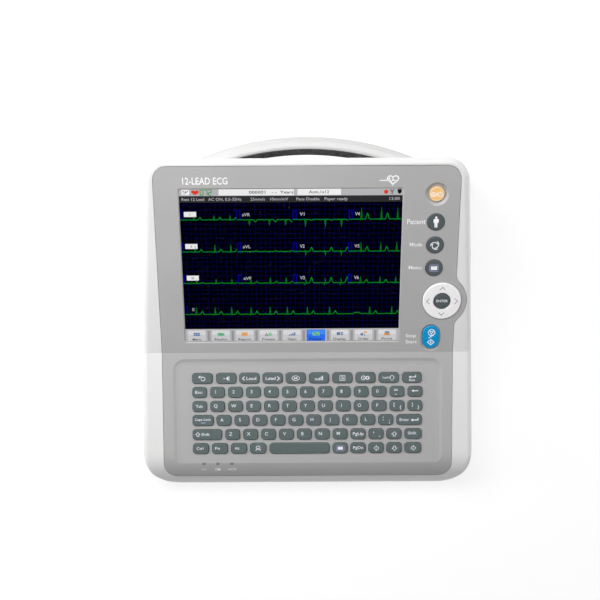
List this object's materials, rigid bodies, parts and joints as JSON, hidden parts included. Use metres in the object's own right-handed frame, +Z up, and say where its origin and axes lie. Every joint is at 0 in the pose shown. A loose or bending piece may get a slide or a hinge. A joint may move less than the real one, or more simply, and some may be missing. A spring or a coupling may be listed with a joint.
{
  "type": "ecg machine",
  "caption": "Wedge-shaped desktop ECG recorder: tilted colour display, full keyboard, side button column, direction ring, side paper drawer and rear carry handle.",
  "frame": {"origin": "centre of the footprint, on the surface that the rubber feet stand on", "axes": "+Z up; -Y towards the operator (keyboard edge); +Y towards the carry handle; +X towards the column of round buttons"},
  "size_m": [0.334, 0.3478, 0.1131],
  "materials": {
    "case_white": "satin moulded ABS",
    "panel_grey": "fine-textured grey ABS",
    "grip_black": "ribbed soft overmould",
    "key_grey": "silk grey keycap",
    "button_slate": "satin slate",
    "ring_white": "pearl white",
    "power_orange": "backlit orange",
    "start_blue": "gloss blue",
    "cover_glass": "clear cover glass",
    "display_black": "display stack",
    "board_green": "solder mask",
    "sheet_steel": "zinc plated",
    "port_metal": "nickel plated shells",
    "connector_black": "moulded black",
    "brass_stud": "turned",
    "foot_rubber": "matte",
    "mat_silicone": "silicone",
    "gear_nylon": "natural nylon",
    "motor_metal": "can and shaft",
    "head_black": "ceramic head on black carrier",
    "battery_wrap": "heat-shrink",
    "release_grey": "satin grey",
    "thermal_paper": "fan-fold thermal paper",
    "light_lens": "clear-tinted light pipe"
  },
  "bodies": {
    "root": {"battery_cover": "case_white", "battery_pack": "battery_wrap", "button_board": "board_green", "case_screws": "sheet_steel", "display_bracket": "sheet_steel", "equipotential_stud": "brass_stud", "front_panel": "panel_grey", "handle_front_shell": "case_white", "handle_grip": "grip_black", "handle_rear_shell": "case_white", "keyboard_board": "board_green", "keypad_mat": "mat_silicone", "lcd_module": "display_black", "light_pipes": "light_lens", "lower_case": "case_white", "main_board": "board_green", "mains_inlet": "connector_black", "panel_screws": "sheet_steel", "paper_motor": "motor_metal", "patient_connector": "port_metal", "power_supply": "board_green", "print_head": "head_black", "recorder_frame": "sheet_steel", "rubber_feet": "foot_rubber", "screen_glass": "cover_glass", "speaker": "head_black", "upper_case": "case_white", "usb_lan_ports": "port_metal"},
    "power_cap": {"power_button": "power_orange"},
    "patient_cap": {"patient_button": "button_slate"},
    "mode_cap": {"mode_button": "button_slate"},
    "menu_cap": {"menu_button": "button_slate"},
    "start_stop_cap": {"start_stop_button": "start_blue"},
    "enter_cap": {"enter_button": "button_slate"},
    "function_cap_01": {"function_key_01": "key_grey"},
    "function_cap_02": {"function_key_02": "key_grey"},
    "function_cap_03": {"function_key_03": "key_grey"},
    "function_cap_04": {"function_key_04": "key_grey"},
    "function_cap_05": {"function_key_05": "key_grey"},
    "function_cap_06": {"function_key_06": "key_grey"},
    "function_cap_07": {"function_key_07": "key_grey"},
    "function_cap_08": {"function_key_08": "key_grey"},
    "function_cap_09": {"function_key_09": "key_grey"},
    "function_cap_10": {"function_key_10": "key_grey"},
    "number_caps": {"number_keys": "key_grey"},
    "letter_caps": {"letter_keys": "key_grey"},
    "modifier_caps": {"modifier_keys": "key_grey"},
    "cursor_caps": {"cursor_keys": "key_grey"},
    "enter_key_cap": {"keyboard_enter_key": "key_grey"},
    "space_cap": {"space_bar": "key_grey"},
    "rocker": {"ring_rocker": "gear_nylon"},
    "ring": {"direction_ring": "ring_white"},
    "drawer": {"paper_drawer": "case_white", "paper_pack": "thermal_paper"},
    "latch": {"drawer_release": "release_grey"},
    "platen": {"platen_roller": "foot_rubber", "platen_shaft": "sheet_steel", "platen_gear": "gear_nylon"},
    "idler": {"idler_gear": "gear_nylon"},
    "pinion": {"motor_pinion": "motor_metal"}
  },
  "joints": [
    {"name": "power_press", "type": "slide", "parent": "root", "child": "power_cap", "axis": [0, 0.342, -0.9397], "range_m": [0, 0.0012], "stiffness_N_per_m": 700},
    {"name": "patient_press", "type": "slide", "parent": "root", "child": "patient_cap", "axis": [0, 0.342, -0.9397], "range_m": [0, 0.0012], "stiffness_N_per_m": 700},
    {"name": "mode_press", "type": "slide", "parent": "root", "child": "mode_cap", "axis": [0, 0.342, -0.9397], "range_m": [0, 0.0012], "stiffness_N_per_m": 700},
    {"name": "menu_press", "type": "slide", "parent": "root", "child": "menu_cap", "axis": [0, 0.342, -0.9397], "range_m": [0, 0.0012], "stiffness_N_per_m": 700},
    {"name": "start_stop_press", "type": "slide", "parent": "root", "child": "start_stop_cap", "axis": [0, 0.342, -0.9397], "range_m": [0, 0.0012], "stiffness_N_per_m": 700},
    {"name": "enter_press", "type": "slide", "parent": "root", "child": "enter_cap", "axis": [0, 0.342, -0.9397], "range_m": [0, 0.0012], "stiffness_N_per_m": 700},
    {"name": "key_function_01", "type": "slide", "parent": "root", "child": "function_cap_01", "axis": [0, 0.0872, -0.9962], "range_m": [0, 0.0012], "stiffness_N_per_m": 600},
    {"name": "key_function_02", "type": "slide", "parent": "root", "child": "function_cap_02", "axis": [0, 0.0872, -0.9962], "range_m": [0, 0.0012], "stiffness_N_per_m": 600},
    {"name": "key_function_03", "type": "slide", "parent": "root", "child": "function_cap_03", "axis": [0, 0.0872, -0.9962], "range_m": [0, 0.0012], "stiffness_N_per_m": 600},
    {"name": "key_function_04", "type": "slide", "parent": "root", "child": "function_cap_04", "axis": [0, 0.0872, -0.9962], "range_m": [0, 0.0012], "stiffness_N_per_m": 600},
    {"name": "key_function_05", "type": "slide", "parent": "root", "child": "function_cap_05", "axis": [0, 0.0872, -0.9962], "range_m": [0, 0.0012], "stiffness_N_per_m": 600},
    {"name": "key_function_06", "type": "slide", "parent": "root", "child": "function_cap_06", "axis": [0, 0.0872, -0.9962], "range_m": [0, 0.0012], "stiffness_N_per_m": 600},
    {"name": "key_function_07", "type": "slide", "parent": "root", "child": "function_cap_07", "axis": [0, 0.0872, -0.9962], "range_m": [0, 0.0012], "stiffness_N_per_m": 600},
    {"name": "key_function_08", "type": "slide", "parent": "root", "child": "function_cap_08", "axis": [0, 0.0872, -0.9962], "range_m": [0, 0.0012], "stiffness_N_per_m": 600},
    {"name": "key_function_09", "type": "slide", "parent": "root", "child": "function_cap_09", "axis": [0, 0.0872, -0.9962], "range_m": [0, 0.0012], "stiffness_N_per_m": 600},
    {"name": "key_function_10", "type": "slide", "parent": "root", "child": "function_cap_10", "axis": [0, 0.0872, -0.9962], "range_m": [0, 0.0012], "stiffness_N_per_m": 600},
    {"name": "key_numbers", "type": "slide", "parent": "root", "child": "number_caps", "axis": [0, 0.0872, -0.9962], "range_m": [0, 0.0012], "stiffness_N_per_m": 6000},
    {"name": "key_letters", "type": "slide", "parent": "root", "child": "letter_caps", "axis": [0, 0.0872, -0.9962], "range_m": [0, 0.0012], "stiffness_N_per_m": 9000},
    {"name": "key_modifiers", "type": "slide", "parent": "root", "child": "modifier_caps", "axis": [0, 0.0872, -0.9962], "range_m": [0, 0.0012], "stiffness_N_per_m": 5000},
    {"name": "key_cursor", "type": "slide", "parent": "root", "child": "cursor_caps", "axis": [0, 0.0872, -0.9962], "range_m": [0, 0.0012], "stiffness_N_per_m": 3500},
    {"name": "key_enter", "type": "slide", "parent": "root", "child": "enter_key_cap", "axis": [0, 0.0872, -0.9962], "range_m": [0, 0.0012], "stiffness_N_per_m": 600},
    {"name": "key_space", "type": "slide", "parent": "root", "child": "space_cap", "axis": [0, 0.0872, -0.9962], "range_m": [0, 0.0012], "stiffness_N_per_m": 800},
    {"name": "dpad_pitch", "type": "hinge", "parent": "root", "child": "rocker", "pos_m": [0.1317, 0.0154, 0.05923], "axis": [1, 0, 0], "range_deg": [-2, 2], "stiffness_Nm_per_rad": 1.2},
    {"name": "dpad_roll", "type": "hinge", "parent": "rocker", "child": "ring", "pos_m": [0.1317, 0.0154, 0.05923], "axis": [0, 0.9397, 0.342], "range_deg": [-2, 2], "stiffness_Nm_per_rad": 1.2},
    {"name": "drawer_slide", "type": "slide", "parent": "root", "child": "drawer", "axis": [-1, 0, 0], "range_m": [0, 0.12]},
    {"name": "drawer_latch_press", "type": "slide", "parent": "root", "child": "latch", "axis": [1, 0, 0], "range_m": [0, 0.002], "stiffness_N_per_m": 500},
    {"name": "platen_spin", "type": "hinge", "parent": "drawer", "child": "platen", "pos_m": [-0.15, 0.0555, 0.0145], "axis": [0, 1, 0], "continuous": true},
    {"name": "idler_spin", "type": "hinge", "parent": "root", "child": "idler", "pos_m": [-0.1356, 0.0555, 0.0145], "axis": [0, 1, 0], "continuous": true},
    {"name": "pinion_spin", "type": "hinge", "parent": "root", "child": "pinion", "pos_m": [-0.13191, 0.0555, 0.02465], "axis": [0, 1, 0], "continuous": true}
  ],
  "couplings": [
    {"joint": "idler_spin", "follows": "platen_spin", "ratio": -1},
    {"joint": "pinion_spin", "follows": "platen_spin", "ratio": 2}
  ]
}
